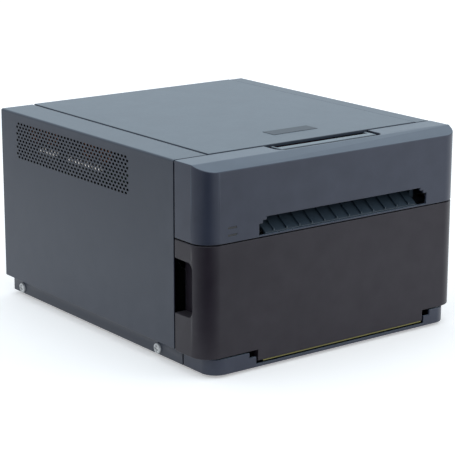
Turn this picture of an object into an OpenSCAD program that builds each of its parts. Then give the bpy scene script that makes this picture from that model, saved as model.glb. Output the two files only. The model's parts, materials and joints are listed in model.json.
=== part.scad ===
// Compact roll-fed photo printer, millimetres. Front faces -Y, top +Z, origin on the floor under the centre.

/* [Case] */
// Width over the side covers
body_w = 275; // [270:1:290]
// Depth from the front face to the rear face
body_d = 310; // [310:1:330]
// Height of the case without its feet
body_h = 172; // [172:1:180]
// Height of the rubber feet under the case
foot_h = 2.5; // [2:0.5:5]
// Plan radius of the two front corners
corner_r = 17; // [10:1:24]
// Wall of the moulded front parts
skin = 2.5; // [2:0.1:3]
// Thickness of the folded sheet covers
sheet = 1.2; // [1:0.1:1.5]
// How far the lower flange and the base stand in from the side
base_inset = 8.3; // [6:0.1:10]

/* [Front] */
// Depth of the moulded front, from the front face to the side cover seam
front_depth = 39.5; // [36:0.5:42]
// Height of the seam between bezel and drawer above the case bottom
seam_h = 108.3; // [106:0.1:110]
// Height of the drawer's lower edge above the case bottom
base_h = 14.5; // [12:0.5:16]
// Drop of the front facet of the bezel's top
facet_drop = 5.2; // [3:0.1:7]
// Depth of that facet
facet_depth = 16; // [12:1:18]
// Width of the photo output slot
slot_w = 180.8; // [170:0.1:184]
// Height of the output slot
slot_h = 14.6; // [12:0.1:15]

/* [Lid] */
// Width of the top lid
lid_w = 223.4; // [220:0.1:226]
// Sideways offset of the print engine, the lid and the slot
engine_x = 8.5; // [8:0.1:9]
// Thickness of the lid panel below the case's top plane
lid_t = 2; // [1.6:0.1:2.4]
// How far the lid stands proud of the case's top plane
lid_rise = 0.5; // [0:0.1:1]

/* [Print engine] */
// Radius of the rubber platen roller
platen_r = 12; // [11:0.5:12]
// Width of the photo paper
media_w = 152; // [127:1:152]
// Outer radius of the paper roll
roll_r = 42; // [25:1:42]
// Module of all gears
gear_m = 1; // [1:0.1:1]

/* [Vent] */
// Rows of vent holes
vent_rows = 11; // [3:1:11]
// Holes in the longer rows, every second row has one less
vent_cols = 35; // [10:1:35]
// Pitch of the rows
vent_row_pitch = 3.05; // [3:0.05:3.2]
// Pitch of the holes in a row
vent_pitch = 5.2; // [5:0.05:5.3]
// Radius of the round ends of a vent hole
vent_r = 1.05; // [0.8:0.05:1.2]
// Distance between the centres of a hole's round ends
vent_stretch = 1.2; // [0.6:0.1:1.5]

/* [Hidden] */
$fn = 48;
EPS = 0.01;
half_w = body_w / 2;
y_front = -body_d / 2;
y_rear = body_d / 2;
y_seam = y_front + front_depth;
z_base = foot_h;
z_top = foot_h + body_h;
z_seam = foot_h + seam_h;
z_edge = foot_h + base_h;
seam_gap = 1;
side_gap = 0.6;

// Lid
lid_x = [engine_x - lid_w / 2, engine_x + lid_w / 2];
lid_gap = 1.5;
lid_y = [y_seam + 0.6, y_rear - 0.5];
hinge_y = 150.5;
hinge_z = 168.5;
hinge_pin_r = 1.5;
lever_y = -108;
lever_z = 166;
latch_pin_y = -101.5;
latch_pin_z = 152;

// Frame plates, one each side of the print engine
plate_t = 1.5;
left_plate = [-100, -100 + plate_t];
right_plate = [115, 115 + plate_t];
plate_y = [-112, 128];
run = 0.05;

// Axes of the rollers and spools, [y, z]
platen_at = [-20, 118];
capstan_at = [-70, 124];
capstan_r = 6;
pinch_at = [-70, 136.5];
pinch_r = 6;
takeup_at = [-44, 148];
supply_at = [38, 142];
roll_at = [-88, 59.5];
media_x = [engine_x - media_w / 2, engine_x + media_w / 2];
shaft_r = 3;

// Gears: teeth, and where each one sits on the right frame plate
platen_n = 30;
capstan_n = 20;
small_n = 26;
large_n = 40;
pinion_n = 14;
takeup_n = 24;
ribbon_n = 12;
gear_x = [right_plate[1] + 3, right_plate[1] + 8];
large_at = platen_at + gear_m * (platen_n + large_n) / 2 * [cos(-50), sin(-50)];
pinion_at = large_at + gear_m * (large_n + pinion_n) / 2 * [cos(-20), sin(-20)];
ribbon_at = takeup_at + gear_m * (takeup_n + ribbon_n) / 2 * [cos(35), sin(35)];
small_at = meet(platen_at, gear_m * (platen_n + small_n) / 2, capstan_at, gear_m * (capstan_n + small_n) / 2);

// Output slot
slot_x = [engine_x - slot_w / 2, engine_x + slot_w / 2];
slot_z = z_seam + 1.8;
step_x = 3.7;
step_z = 2.5;
lip_top = z_base + 2.6;
ramp_half = 82;
ramp_rise = 0.7;
rib_pitch = 13.3;
rib_count = 12;

// Lever tray in the bezel
tray_back = 56.5;
tray_front = 53;
tray_y = -137;
tray_z = 156;

// Drawer
tongue_x = [engine_x - 91, engine_x + 90];
notch_w = 7;
drawer_x = [-83, 99];
drawer_back = -34;
drawer_floor = 8.5;
recess_y = y_front + 15.3;
recess_z = [z_base + 46.9, z_base + 92.4];
recess_depth = 10.7;

// Power supply
psu_x = -107;
vent_y = y_front + 105.3;
vent_z = z_base + 132.1;

// Meeting point of two circles that lies lower down
function meet(a, ra, b, rb) =
    let (d = norm(b - a),
         along = (ra * ra - rb * rb + d * d) / (2 * d),
         off = sqrt(ra * ra - along * along),
         u = (b - a) / d)
    a + along * u + off * (u[1] < 0 ? [u[1], -u[0]] : [-u[1], u[0]]) * (u[0] < 0 ? 1 : -1);
function heading(a, b) = atan2(b[1] - a[1], b[0] - a[0]);
// Turn of a gear that meshes with another: n1 teeth turned by t1 at a, n2 teeth at b
function mesh_turn(a, n1, t1, b, n2) = heading(a, b) + 180 + 180 / n2 - (t1 - heading(a, b)) * n1 / n2;
platen_turn = heading(platen_at, large_at);
large_turn = mesh_turn(platen_at, platen_n, platen_turn, large_at, large_n);
pinion_turn = mesh_turn(large_at, large_n, large_turn, pinion_at, pinion_n);
small_turn = mesh_turn(platen_at, platen_n, platen_turn, small_at, small_n);
capstan_turn = mesh_turn(small_at, small_n, small_turn, capstan_at, capstan_n);
takeup_turn = heading(takeup_at, ribbon_at);
ribbon_turn = mesh_turn(takeup_at, takeup_n, takeup_turn, ribbon_at, ribbon_n);

// Box between three ranges
module span(x, y, z) {
    translate([x[0], y[0], z[0]]) cube([x[1] - x[0], y[1] - y[0], z[1] - z[0]]);
}
// Round bar along X through [y, z]
module rod(at, x, r) {
    translate([x[0], at[0], at[1]]) rotate([90, 0, 90]) cylinder(r = r, h = x[1] - x[0]);
}
// Upright round bar
module post(x, y, z, r) {
    translate([x, y, z[0]]) cylinder(r = r, h = z[1] - z[0]);
}
// Round bar along Y through [x, z]
module stud(x, z, y, r) {
    translate([x, y[1], z]) rotate([90, 0, 0]) cylinder(r = r, h = y[1] - y[0]);
}
// Profile in [y, z] extruded along X
module profile_x(x, points) {
    translate([x[0], 0, 0]) rotate([90, 0, 90]) linear_extrude(x[1] - x[0]) polygon(points);
}
// Plan of the front: straight back, rounded front corners
module front_plan(half, front, back, r) {
    translate([-half, front + r]) square([2 * half, back - front - r]);
    translate([-half + r, front]) square([2 * (half - r), back - front]);
    for (s = [-1, 1]) translate([s * (half - r), front + r]) circle(r);
}
module front_block(inset, z, back) {
    translate([0, 0, z[0]]) linear_extrude(z[1] - z[0])
        front_plan(half_w - inset, y_front + inset, back, corner_r - inset);
}
// Everything above the sloped facet of the bezel, lowered by drop
module above_facet(drop) {
    profile_x([-half_w - 1, half_w + 1],
        [[y_front - 2, z_top - facet_drop * (1 + 2 / facet_depth) - drop],
         [y_front + facet_depth, z_top - drop],
         [y_front + facet_depth, z_top + 5], [y_front - 2, z_top + 5]]);
}
// Involute spur gear in the [y, z] plane, turned by turn
function flank(c) = tan(acos(c)) * 180 / PI - acos(c);
function half_at(n, r) = 90 / n - 0.9 / n * 5 + flank(cos(20)) - flank(min(1, gear_m * n / 2 * cos(20) / r));
module spur(at, n, turn, x) {
    pitch = gear_m * n / 2;
    root = pitch - 1.2 * gear_m;
    tip = pitch + 0.9 * gear_m;
    steps = [root, max(root + 0.1, pitch * cos(20)), pitch - 0.1 * gear_m, pitch + 0.45 * gear_m, tip];
    translate([x[0], at[0], at[1]]) rotate([90, 0, 90]) linear_extrude(x[1] - x[0])
        polygon([for (i = [0:n - 1]) each concat(
            [for (r = steps) let (a = turn + 360 / n * i - half_at(n, r)) r * [cos(a), sin(a)]],
            [for (k = [4:-1:0]) let (r = steps[k], a = turn + 360 / n * i + half_at(n, r))
                r * [cos(a), sin(a)]])]);
}

// ---- Case ----
module base_pan() {
    wall_x = half_w - base_inset - sheet;
    color("#3b3f49") difference() {
        union() {
            span([-wall_x, wall_x], [y_seam, y_rear - sheet], [z_base, z_base + sheet]);
            for (s = [0, 1]) mirror([s, 0, 0])
                span([-wall_x, -wall_x + sheet], [y_seam + 1, y_rear - sheet], [z_base, z_base + 14]);
            span([-wall_x, wall_x], [y_rear - 2 * sheet, y_rear - sheet], [z_base, z_base + 14]);
        }
        for (x = [-60, -20, 20, 60], y = [20:12:92]) post(x, y, [z_base - 1, z_base + 3], 2.5);
        for (x = [-104, 104]) post(x, 136, [z_base - 1, z_base + 3], 2.9);
        for (y = screw_y) rod([y, screw_z], [-half_w, half_w], 1.65);
    }
}
module rubber_feet() {
    color("#1c1c1e") for (x = [-104, 104], y = [-132, 136]) {
        post(x, y, [0, z_base], 8);
        post(x, y, [z_base, z_base + (y < 0 ? 0 : sheet) + 1], 2.9);
    }
}
module front_base_cover() {
    half = half_w - base_inset;
    color("#3c424e") difference() {
        translate([0, 0, z_base]) linear_extrude(z_edge - seam_gap - z_base)
            front_plan(half, y_front, y_seam - side_gap, corner_r - 3);
        translate([0, 0, z_base + skin]) linear_extrude(base_h)
            front_plan(half - skin, y_front + skin, y_seam + 5, corner_r - 3 - skin);
        span([tongue_x[0] - 1.5, tongue_x[1] + 1.5], [y_front - 1, y_seam + 1], [lip_top, z_edge]);
        span([tongue_x[0] - 1.5 - notch_w, tongue_x[1] + 1.5 + notch_w], [y_front - 1, y_front + 12],
             [z_edge - seam_gap - 4.5, z_edge]);
        for (x = [-104, 104]) post(x, -132, [z_base - 1, z_base + 1], 2.9);
    }
}
// Folded cover: side wall, top strip and a lower flange that steps in
module side_cover_shell(strip_end) {
    step = half_w - base_inset;
    y = [y_seam + side_gap, y_rear];
    translate([0, y[1], 0]) rotate([90, 0, 0]) linear_extrude(y[1] - y[0]) difference() {
        union() {
            translate([-half_w + 2, z_edge + 3]) square([half_w - 2 - strip_end, z_top - z_edge - 3]);
            translate([-half_w, z_edge + 1]) square([half_w - strip_end, z_top - z_edge - 3]);
            translate([-half_w + 2, z_top - 2]) circle(2);
            translate([-step, z_base]) square([step - strip_end, z_edge + 2 - z_base]);
        }
        translate([-half_w + sheet, z_edge + 1 + sheet]) square([half_w, z_top - z_edge - 1 - 2 * sheet]);
        translate([-step + sheet, z_base - 1]) square([half_w, z_edge + 5]);
    }
    // Inward fold at the rear, and the fold of the top strip beside the lid
    span([-half_w + sheet, -half_w + 12], [y[1] - sheet, y[1]], [z_edge + 1 + sheet, z_top - sheet]);
    span([-half_w + 11, -strip_end], [y[1] - sheet, y[1]], [z_top - 10.2, z_top - sheet]);
}
module vent_holes() {
    for (row = [0:vent_rows - 1]) {
        short = 1 - row % 2;
        for (i = [0:vent_cols - 1 - short])
            translate([-half_w - 1, vent_y + (i + short / 2) * vent_pitch, vent_z + row * vent_row_pitch])
                rotate([0, 90, 0]) linear_extrude(sheet + 2) {
                    translate([0, -vent_stretch / 2]) circle(r = vent_r, $fn = 16);
                    translate([0, vent_stretch / 2]) circle(r = vent_r, $fn = 16);
                    translate([-vent_r, -vent_stretch / 2]) square([2 * vent_r, vent_stretch]);
                }
    }
}
screw_y = [y_front + 75, y_front + 294];
screw_z = z_base + 5;
module left_side_cover() {
    color("#565b66") difference() {
        side_cover_shell(-lid_x[0] + lid_gap);
        vent_holes();
        for (y = screw_y) rod([y, screw_z], [-half_w, -half_w + base_inset + 3], 1.65);
    }
}
module right_side_cover() {
    color("#565b66") mirror([1, 0, 0]) difference() {
        side_cover_shell(lid_x[1] + lid_gap);
        for (y = screw_y) rod([y, screw_z], [-half_w, -half_w + base_inset + 3], 1.65);
    }
}
socket_x = -108;
fan_x = 62;
fan_z = 100;
// Screws of the rear panel and of the fan, [x, z]
rear_screws = [[-121, 156], [121, 156], [121, 26], [-80, 26],
               for (sx = [-1, 1], sz = [-1, 1]) [fan_x + sx * 30.5, fan_z + sz * 30.5]];
// Cone of a flush screw head through the rear sheet, lengthened by extra at both ends
module countersink(at, extra) {
    slope = 1.35 / sheet;
    translate([at[0], y_rear + extra, at[1]]) rotate([90, 0, 0])
        cylinder(r1 = 3 + slope * extra, r2 = 1.65 - slope * extra, h = sheet + 2 * extra);
}
module rear_panel() {
    color("#4d525d") difference() {
        span([-half_w + 12.3, half_w - 12.3], [y_rear - sheet, y_rear], [z_edge + 2, z_top - 10.5]);
        // Fan grille: ring slots between four spokes
        difference() {
            union() for (r = [8:7:29]) difference() {
                stud(fan_x, fan_z, [y_rear - 3, y_rear + 1], r + 2.2);
                stud(fan_x, fan_z, [y_rear - 3, y_rear + 1], r - 2.2);
            }
            for (a = [45, 135]) translate([fan_x, y_rear, fan_z]) rotate([0, a, 0])
                cube([80, 10, 4], center = true);
        }
        span([socket_x - 14, socket_x + 14], [y_rear - 3, y_rear + 1], [z_base + 20, z_base + 40]);
        span([socket_x - 7, socket_x + 7], [y_rear - 3, y_rear + 1], [z_base + 50, z_base + 70]);
        span([-65.5, -53.5], [y_rear - 3, y_rear + 1], [z_base + 18.4, z_base + 29.4]);
        for (i = [0:11]) span([-70 + 7 * i, -66.5 + 7 * i], [y_rear - 3, y_rear + 1], [120, 146]);
        for (at = rear_screws) countersink(at, 0.1);
    }
}
module front_bezel() {
    back = y_seam - side_gap;
    z = [z_seam + seam_gap / 2, z_top];
    color("#484d58") difference() {
        union() {
            difference() {
                front_block(0, z, back);
                above_facet(0);
                difference() {
                    front_block(skin, [z[0] - 1, z_top - skin], back + 5);
                    above_facet(skin);
                }
            }
            lever_tray(2, tray_z - 2, z_top - skin + 1);
        }
        lever_tray(0, tray_z, z_top + 5);
        output_slot();
        for (k = [0, 1]) light_slot(k, 0);
    }
}
// Tray or its walls: a trapezoid open towards the lid
module lever_tray(wall, low, high) {
    translate([0, 0, low]) linear_extrude(high - low) polygon([
        [engine_x - tray_back - wall, y_seam - side_gap], [engine_x - tray_front - 3 - wall, tray_y + 6],
        [engine_x - tray_front - 1 - wall, tray_y + 1.8], [engine_x - tray_front + 2, tray_y - wall],
        [engine_x + tray_front - 2, tray_y - wall], [engine_x + tray_front + 1 + wall, tray_y + 1.8],
        [engine_x + tray_front + 3 + wall, tray_y + 6], [engine_x + tray_back + wall, y_seam - side_gap]]);
}
// Slot whose upper corners are stepped
module output_slot() {
    for (k = [0:2])
        span([slot_x[0] + k * step_x, slot_x[1] - k * step_x], [y_front - 1, y_front + skin + 1],
             [slot_z, slot_z + slot_h - (2 - k) * step_z]);
}
module light_slot(k, slack) {
    span([-113.5 + slack, -104.5 - slack], [y_front - 1, y_front + skin + 1],
         [z_base + 114 + 6 * k + slack, z_base + 115.5 + 6 * k - slack]);
}
module status_light_pipes() {
    color("#23262c") for (k = [0, 1]) {
        span([-113.5, -104.5], [y_front + 0.3, y_front + skin + 8],
             [z_base + 114 + 6 * k, z_base + 115.5 + 6 * k]);
    }
    color("#23262c") span([-115, -103], [y_front + skin, y_front + skin + 1.2],
                          [z_base + 112, z_base + 123.5]);
}
// Ribbed chute that turns the photos out through the slot
ramp_foot = [y_front + skin + 0.6, slot_z + 0.4];
ramp_head = [ramp_foot[0] + 24, ramp_foot[1] + 24 * ramp_rise];
module output_ramp() {
    color("#25303c") {
        profile_x([engine_x - ramp_half, engine_x + ramp_half],
            [ramp_foot, ramp_head, [y_seam + 6, ramp_head[1] + 1], [y_seam + 6, ramp_head[1] - 1],
             [ramp_head[0] + 1, ramp_head[1] - 2.2], [ramp_foot[0] + 2, ramp_foot[1] - 1.6],
             [ramp_foot[0], ramp_foot[1] - 1.6]]);
        for (i = [0:rib_count - 1]) {
            x = engine_x + (i - (rib_count - 1) / 2) * rib_pitch;
            profile_x([x - 0.6, x + 0.6],
                [ramp_foot, ramp_head, [y_seam + 6, ramp_head[1] + 1], [y_seam + 6, ramp_head[1] + 2],
                 [ramp_head[0], ramp_head[1] + 1.6], [ramp_foot[0] + 1, ramp_foot[1] + 2.6],
                 [ramp_foot[0], ramp_foot[1] + 2.2]]);
        }
        for (s = [-1, 1]) span([engine_x + s * (ramp_half + 2) - 2, engine_x + s * (ramp_half + 2) + 2],
                               [y_front + 12, y_seam + 6], [ramp_foot[1] + 4, ramp_head[1] + 4]);
    }
}
module cover_screws() {
    color("silver") for (at = rear_screws) difference() {
        union() {
            countersink(at, 0);
            stud(at[0], at[1], [y_rear - 4, y_rear - sheet], 1.5);
        }
        translate([at[0], y_rear, at[1]]) {
            cube([3, 1.2, 0.7], center = true);
            cube([0.7, 1.2, 3], center = true);
        }
    }
    color("silver") for (s = [0, 1]) mirror([s, 0, 0]) for (y = screw_y) difference() {
        union() {
            translate([-half_w + base_inset, y, screw_z]) rotate([0, -90, 0])
                cylinder(r1 = 4.4, r2 = 3.3, h = 2.2);
            rod([y, screw_z], [-half_w + base_inset, -half_w + base_inset + 5], 1.65);
        }
        translate([-half_w + base_inset - 2.3, y, screw_z]) {
            cube([2, 3.6, 0.8], center = true);
            cube([2, 0.8, 3.6], center = true);
        }
    }
}

// ---- Frame ----
module plate_blank(x) {
    profile_x(x, [[plate_y[0], z_base + sheet], [plate_y[1], z_base + sheet], [plate_y[1], 150],
                  [plate_y[1] - 25, 168], [-60, 168], [-78, 158], [plate_y[0], 158]]);
}
module left_frame_plate() {
    color("#8b9198") difference() {
        plate_blank(left_plate);
        for (at = [platen_at, capstan_at, pinch_at, takeup_at, supply_at]) rod(at, [-102, -97], shaft_r + 2);
        for (y = [-78, 20, 60, 96]) rod([y, 84], [-102, -97], 14);
    }
}
module right_frame_plate() {
    color("#8b9198") difference() {
        plate_blank(right_plate);
        for (at = [platen_at, capstan_at, pinch_at, takeup_at, supply_at]) rod(at, [113, 118], shaft_r + 2);
        for (at = [pinion_at, ribbon_at]) rod(at, [113, 118], 5);
        for (y = [-78, 96]) rod([y, 84], [113, 118], 14);
    }
    // Studs of the two idler gears
    color("silver") for (at = [small_at, large_at]) {
        rod(at, [right_plate[1], gear_x[0] - 0.4], 4);
        rod(at, [gear_x[0] - 0.4, gear_x[1] + 1], 2);
    }
}
module frame_tie_bars() {
    color("#8b9198") {
        for (at = [[-84, 150], [100, 150], [100, 20], [60, 40]]) rod(at, [left_plate[1], right_plate[0]], 4);
        rod([3.8, 129.8], [left_plate[1], right_plate[0]], 1.6);
        for (x = [left_plate[1], right_plate[0] - 8])
            span([x, x + 8], [-30, 10], [z_base + sheet, z_base + sheet + 1.5]);
    }
}
module shaft_bushes() {
    color("#b08d4f")
        for (at = [platen_at, capstan_at, pinch_at, takeup_at, supply_at], x = [left_plate, right_plate])
        difference() {
            union() {
                rod(at, [x[0], x[1]], shaft_r + 2);
                rod(at, x[0] < 0 ? [x[1], x[1] + 1] : [x[0] - 1, x[0]], shaft_r + 3.2);
            }
            rod(at, [x[0] - 2, x[1] + 2], shaft_r + run);
        }
}
module lid_hinge_brackets() {
    color("#7d838b") for (x = [-84, 101]) {
        for (s = [-1, 1]) difference() {
            union() {
                profile_x([x + s * 6.5 - 2, x + s * 6.5 + 2],
                    [[y_rear - 2.5, 140], [y_rear - 2.5, 160], [hinge_y + 3.2, hinge_z],
                     [hinge_y - 3.2, hinge_z], [hinge_y - 3.3, 160], [y_rear - 14, 140]]);
                rod([hinge_y, hinge_z], [x + s * 6.5 - 2, x + s * 6.5 + 2], 3.2);
            }
            rod([hinge_y, hinge_z], [x - 10, x + 10], hinge_pin_r + run);
        }
        span([x - 8.5, x + 8.5], [y_rear - 2.5, y_rear - sheet], [136, 162]);
        span([x - 8.5, x + 8.5], [y_rear - 14, y_rear - 2.5], [138, 140]);
    }
    color("#7d838b") span([left_plate[0], right_plate[1]], [y_rear - 2 * sheet, y_rear - sheet], [150, 156]);
    color("#7d838b") for (x = [left_plate[0], right_plate[1] - 1.5])
        span([x, x + 1.5], [plate_y[1], y_rear - sheet], [46, 134]);
    // Folded sheet that closes the rear of the lid opening, notched for the hinge cheeks
    back = [y_rear - 15.5, y_rear - 14.3];
    color("#4d525d") difference() {
        union() {
            span([-125, 125], [back[0], y_rear - sheet], [z_top - 11.7, z_top - 10.5]);
            span([-125, 125], back, [z_top - 11.7, z_top - 5.7]);
            span([left_plate[0] + 0.5, right_plate[1]], back, [z_top - 11.7, z_top - 3]);
        }
        for (x = [-84, 101])
            span([x - 9, x + 9], [hinge_y - 4.3, y_rear], [z_top - 13, z_top - 10]);
    }
}
module latch_pins() {
    color("silver") {
        rod([latch_pin_y, latch_pin_z], [left_plate[1], -91.5], 2.5);
        rod([latch_pin_y, latch_pin_z], [107.5, right_plate[0]], 2.5);
    }
}
module drawer_rails() {
    color("#9aa0a6") {
        span([left_plate[1], drawer_x[0] - 3.5], [-108, drawer_back], [14.2, 16.2]);
        span([left_plate[1], left_plate[1] + 1.5], [-108, drawer_back], [16.2, 30]);
        span([drawer_x[1] + 3.5, right_plate[0]], [-108, drawer_back], [14.2, 16.2]);
        span([right_plate[0] - 1.5, right_plate[0]], [-108, drawer_back], [16.2, 30]);
    }
}

// ---- Power supply and electronics ----
module power_supply_board() {
    color("#2f5d3a") span([psu_x, psu_x + 1.6], [-58, 124], [60, 170]);
    color("#9aa0a6") for (y = [-50, 98], z = [66, 160]) rod([y, z], [psu_x + 1.6, left_plate[0]], 3);
}
module coil(y, z, r) {
    translate([psu_x - 18, y, z]) rotate([0, -90, 0]) rotate_extrude() translate([r, 0]) circle(4.5);
    rod([y, z], [psu_x - 16, psu_x], r);
}
module power_supply_coils() {
    color("#b06a35") {
        coil(110, 160, 8);
        coil(84, 159.5, 7);
        coil(24, 159.5, 7);
        coil(-2, 158.5, 6);
    }
    color("#3a3a32") for (y = [-30, 55]) span([psu_x - 20, psu_x], [y - 14, y + 14], [100, 128]);
}
module power_supply_capacitors() {
    // Each one: y, z, radius, length
    cans = [[56, 157, 5, 22], [-40, 152, 6, 20], [-24, 152, 6, 20], [20, 118, 8, 22], [96, 110, 11, 22]];
    color("#22304a") for (c = cans) rod([c[0], c[1]], [psu_x - c[3], psu_x], c[2]);
}
module power_supply_heat_sink() {
    color("#9ba1a8") {
        span([psu_x - 4, psu_x], [-50, 110], [74, 92]);
        for (i = [0:7]) span([psu_x - 20, psu_x - 4], [-50 + 22 * i, -47 + 22 * i], [74, 92]);
    }
}
module power_supply_plugs() {
    color("#e4e2da") {
        for (y = [2, 19, 36]) span([psu_x - 25, psu_x], [y, y + 16], [143.7, 146.7]);
        for (y = [74, 87]) span([psu_x - 25, psu_x], [y, y + 12], [143.7, 146.7]);
    }
}
module main_board() {
    color("#2b5a3c") span([-92, 62], [18, 148], [12, 13.6]);
    color("#9aa0a6") for (x = [-86, 56], y = [24, 142]) post(x, y, [z_base + sheet, 12], 2.5);
    color("#1d1e20") {
        span([-50, -26], [50, 74], [13.6, 15.6]);
        span([-14, 4], [40, 58], [13.6, 15.2]);
        span([16, 50], [110, 124], [13.6, 20]);
    }
}
module usb_port() {
    color("silver") difference() {
        span([-65.5, -53.5], [138, y_rear - 0.4], [z_base + 18.4, z_base + 29.4]);
        span([-64, -55], [145, y_rear + 1], [z_base + 19.6, z_base + 28.2]);
    }
    color("white") span([-62, -57], [145, y_rear - 6], [z_base + 22.8, z_base + 25]);
    color("#1d1e20") span([-65.5, -53.5], [138, 148], [13.6, z_base + 18.4]);
}
module mains_inlet() {
    color("#1a1a1c") difference() {
        union() {
            span([socket_x - 14, socket_x + 14], [y_rear - 22, y_rear], [z_base + 20, z_base + 40]);
            span([socket_x - 16, socket_x + 16], [y_rear - 4, y_rear - sheet], [z_base + 18, z_base + 42]);
        }
        span([socket_x - 11.5, socket_x + 11.5], [y_rear - 18, y_rear + 1], [z_base + 22, z_base + 38]);
    }
    color("silver") for (dx = [-6, 0, 6])
        span([socket_x - 1 + dx, socket_x + 1 + dx], [y_rear - 18, y_rear - 6],
             [z_base + (dx == 0 ? 31 : 26), z_base + (dx == 0 ? 35 : 30)]);
}
rocker_at = [y_rear - 4, z_base + 60];
module power_switch_housing() {
    color("#1a1a1c") difference() {
        span([socket_x - 7, socket_x + 7], [y_rear - 20, y_rear], [z_base + 50, z_base + 70]);
        span([socket_x - 5, socket_x + 5], [y_rear - 10, y_rear + 1], [z_base + 51.5, z_base + 68.5]);
        rod(rocker_at, [socket_x - 6, socket_x + 6], 1.5 + run);
    }
}
module power_rocker() {
    color("#2a2a2d") {
        profile_x([socket_x - 4.5, socket_x + 4.5],
            [[y_rear - 6.5, z_base + 55], [y_rear - 6.5, z_base + 65],
             [y_rear - 2.6, z_base + 67.2], [y_rear - 1.8, z_base + 60], [y_rear - 0.4, z_base + 53]]);
        rod(rocker_at, [socket_x - 5.8, socket_x + 5.8], 1.5);
    }
}
module fan_housing() {
    color("#202124") difference() {
        span([fan_x - 35, fan_x + 35], [y_rear - 21, y_rear - sheet], [fan_z - 35, fan_z + 35]);
        stud(fan_x, fan_z, [y_rear - 22, y_rear], 32.5);
        for (sx = [-1, 1], sz = [-1, 1]) stud(fan_x + sx * 30.5, fan_z + sz * 30.5, [y_rear - 22, y_rear], 2);
    }
    color("#202124") {
        stud(fan_x, fan_z, [y_rear - 21, y_rear - 19], 11);
        for (a = [0, 90]) translate([fan_x, y_rear - 20, fan_z]) rotate([0, a + 20, 0])
            cube([66, 2, 4], center = true);
        stud(fan_x, fan_z, [y_rear - 19, y_rear - 12], 1.5);
    }
}
module fan_rotor() {
    color("#2c2d31") difference() {
        union() {
            stud(fan_x, fan_z, [y_rear - 18, y_rear - 4], 12);
            for (a = [0:51.4:359]) translate([fan_x, y_rear - 11, fan_z]) rotate([0, a, 0])
                rotate([32, 0, 0]) translate([11, -1, -7]) cube([19.5, 1.6, 12]);
        }
        stud(fan_x, fan_z, [y_rear - 19, y_rear - 10], 1.5 + run);
    }
}

// ---- Paper and ribbon drive ----
module feed_motor() {
    color("#33353a") {
        rod(pinion_at, [right_plate[0] - 34, right_plate[0] - 2], 21);
        span([right_plate[0] - 2, right_plate[0]], [pinion_at[0] - 21, pinion_at[0] + 21],
             [pinion_at[1] - 21, pinion_at[1] + 21]);
    }
    color("silver") rod(pinion_at, [right_plate[0], gear_x[1]], 2.5);
}
module ribbon_motor() {
    color("#33353a") rod(ribbon_at, [right_plate[0] - 18, right_plate[0]], 9);
    color("silver") rod(ribbon_at, [right_plate[0], gear_x[1]], 1.5);
}
module paper_guide() {
    color("#3a3d42") {
        profile_x([left_plate[1], right_plate[0]],
            [[-62, 128], [-34, 128], [-34, 126], [-62, 126]]);
        profile_x([left_plate[1], right_plate[0]],
            [[-6, 128.5], [8, 124], [20, 111], [22, 112], [10, 126], [-6, 130]]);
        for (x = [left_plate[1] + 2, right_plate[0] - 6]) span([x, x + 4], [-62, -34], [110, 126]);
    }
}
// Dye ribbon between the spools, drawn thicker than the real film
module ribbon_web() {
    t = 0.25;
    color("#6b2a3f") profile_x([engine_x - 76, engine_x + 76],
        [[36, 127], [4, 131.5], [-20, 130.45], [-30, 131.5], [-34.8, 150.4],
         [-34.8 + t, 150.4], [-30 + t, 131.5 + t], [-20, 130.45 + t], [4, 131.5 + t], [36, 127 + t]]);
}
module cutter_beam() {
    color("#9aa0a6") {
        span([left_plate[1], right_plate[0]], [-106, -94], [122, 124.5]);
        span([left_plate[1], right_plate[0]], [-98, -94], [124.5, 129.4]);
        rod(cutter_rod, [left_plate[1], right_plate[0]], 3);
    }
}
cutter_rod = [-97, 141];
module cutter_carriage() {
    x = [left_plate[1] + 10.5, left_plate[1] + 32.5];
    color("#2c2d31") difference() {
        span(x, [-103, -91], [130, 148]);
        rod(cutter_rod, [x[0] - 1, x[1] + 1], 3 + run);
        span([x[0] + 3.5, x[1] - 3.5], [-101.6, -98.4], [129, 137.8]);
    }
    color("silver") stud(x[0] + 11, 131.6, [-101.3, -98.6], 6);
    color("silver") stud(x[0] + 11, 133.5, [-102, -98], 1.5);
}
module platen_roller() {
    color("#2a2a2c") rod(platen_at, [engine_x - 80, engine_x + 80], platen_r);
    color("silver") rod(platen_at, [left_plate[0] - 3, gear_x[1]], shaft_r);
}
module platen_gear() {
    color("#d9d4c4") difference() {
        spur(platen_at, platen_n, platen_turn, gear_x);
        rod(platen_at, [gear_x[0] - 1, gear_x[1] + 1], shaft_r);
    }
}
module capstan_roller() {
    color("#8f959c") {
        rod(capstan_at, [engine_x - 80, engine_x + 80], capstan_r);
        rod(capstan_at, [left_plate[0] - 3, gear_x[0]], shaft_r);
    }
    color("#d9d4c4") spur(capstan_at, capstan_n, capstan_turn, gear_x);
}
module pinch_roller() {
    color("#2a2a2c") rod(pinch_at, [engine_x - 80, engine_x + 80], pinch_r);
    color("silver") rod(pinch_at, [left_plate[0] - 2, right_plate[1] + 1], shaft_r);
}
module idler(at, n, turn) {
    difference() {
        spur(at, n, turn, gear_x);
        rod(at, [gear_x[0] - 1, gear_x[1] + 1], 2 + run);
    }
}
module small_idler_gear() {
    color("#ece8da") idler(small_at, small_n, small_turn);
}
module large_idler_gear() {
    color("#ece8da") idler(large_at, large_n, large_turn);
}
module feed_pinion() {
    color("#b08d4f") difference() {
        spur(pinion_at, pinion_n, pinion_turn, gear_x);
        rod(pinion_at, [gear_x[0] - 1, gear_x[1] + 1], 2.5 + run);
    }
}
module ribbon_pinion() {
    color("#b08d4f") difference() {
        spur(ribbon_at, ribbon_n, ribbon_turn, gear_x);
        rod(ribbon_at, [gear_x[0] - 1, gear_x[1] + 1], 1.5 + run);
    }
}
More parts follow.
